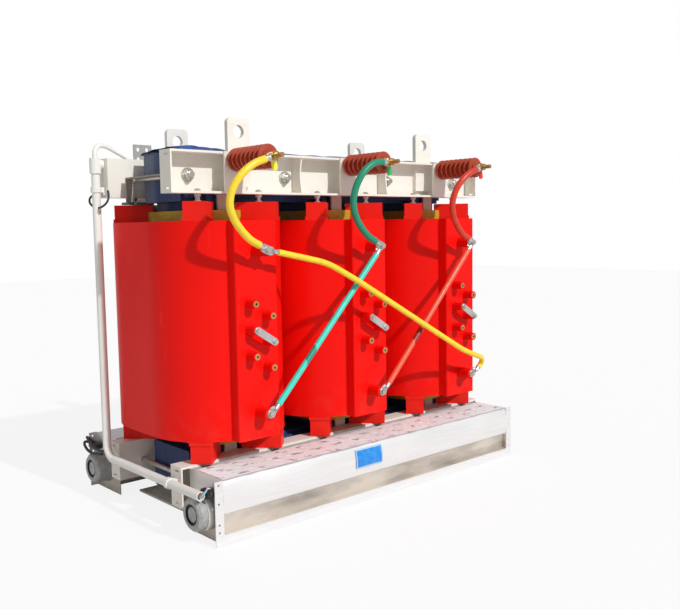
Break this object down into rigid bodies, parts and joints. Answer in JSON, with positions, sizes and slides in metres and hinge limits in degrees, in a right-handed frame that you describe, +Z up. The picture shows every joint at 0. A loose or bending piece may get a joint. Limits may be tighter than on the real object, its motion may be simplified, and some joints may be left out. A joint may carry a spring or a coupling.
{
  "type": "dry type transformer",
  "caption": "Three-phase dry type transformer with cast coils on a clamped core, ribbed post insulators, delta links, base channels and cross-flow cooling blowers.",
  "frame": {"origin": "on the mounting plane, at the centre of the four foot holes, below the middle coil", "axes": "+X along the row of coils, +Y towards the low-voltage side, +Z up"},
  "size_m": [1.671, 1.0261, 1.463],
  "materials": {
    "core": "satin",
    "tie_plate": "satin",
    "coil_resin": "satin",
    "lv_resin": "satin",
    "barrier": "matte",
    "pad_resin": "satin",
    "clamp_paint": "satin",
    "zinc": "satin",
    "insulator_resin": "gloss",
    "brass": "satin",
    "tag_plastic": "satin",
    "tinned": "satin",
    "lead_a": "satin",
    "lead_b": "satin",
    "lead_c": "satin",
    "link_a": "satin",
    "link_b": "satin",
    "link_c": "satin",
    "sheet_metal": "satin",
    "impeller_metal": "satin",
    "motor_paint": "satin",
    "conduit_plastic": "satin",
    "bar_steel": "satin",
    "foot_plastic": "matte"
  },
  "bodies": {
    "transformer": {"lower_core": "core", "upper_yoke": "core", "tie_plates": "tie_plate", "hv_coil_a": "coil_resin", "hv_coil_b": "coil_resin", "hv_coil_c": "coil_resin", "lv_winding_a": "lv_resin", "lv_winding_b": "lv_resin", "lv_winding_c": "lv_resin", "barrier_tubes": "barrier", "top_pads_a": "pad_resin", "bottom_pads_a": "pad_resin", "top_pads_b": "pad_resin", "bottom_pads_b": "pad_resin", "top_pads_c": "pad_resin", "bottom_pads_c": "pad_resin", "top_clamp_front": "clamp_paint", "top_clamp_rear": "clamp_paint", "bottom_clamp_front": "clamp_paint", "bottom_clamp_rear": "clamp_paint", "front_lifting_lugs": "clamp_paint", "rear_lifting_lugs": "clamp_paint", "base_channels": "clamp_paint", "yoke_bolts": "zinc", "pressure_screws": "zinc", "hv_insulator_a": "insulator_resin", "hv_insulator_b": "insulator_resin", "hv_insulator_c": "insulator_resin", "terminal_studs": "brass", "phase_tags": "tag_plastic", "cable_lugs": "tinned", "hv_lead_a": "lead_a", "hv_lead_b": "lead_b", "hv_lead_c": "lead_c", "delta_link_a": "link_a", "delta_link_b": "link_b", "delta_link_c": "link_c", "terminal_bolts": "zinc", "tap_inserts": "brass", "tap_links": "tinned", "tap_link_bolts": "zinc", "lv_bar_a": "tinned", "lv_bar_b": "tinned", "lv_bar_c": "tinned", "lv_bar_supports": "insulator_resin", "front_blower_casing": "sheet_metal", "rear_blower_casing": "sheet_metal", "front_blower_ends": "sheet_metal", "rear_blower_ends": "sheet_metal", "front_motor": "motor_paint", "rear_motor": "motor_paint", "fan_bearings": "motor_paint", "conduit": "conduit_plastic", "conduit_tee": "conduit_plastic", "conduit_clips": "conduit_plastic", "sensor_tube": "conduit_plastic", "press_bar": "bar_steel", "press_foot": "foot_plastic"},
    "front_fan": {"front_impeller": "impeller_metal"},
    "rear_fan": {"rear_impeller": "impeller_metal"}
  },
  "joints": [
    {"name": "front_fan_spin", "type": "hinge", "parent": "transformer", "child": "front_fan", "pos_m": [0, -0.38, 0.103], "axis": [1, 0, 0], "continuous": true},
    {"name": "rear_fan_spin", "type": "hinge", "parent": "transformer", "child": "rear_fan", "pos_m": [0, 0.38, 0.103], "axis": [1, 0, 0], "continuous": true}
  ]
}
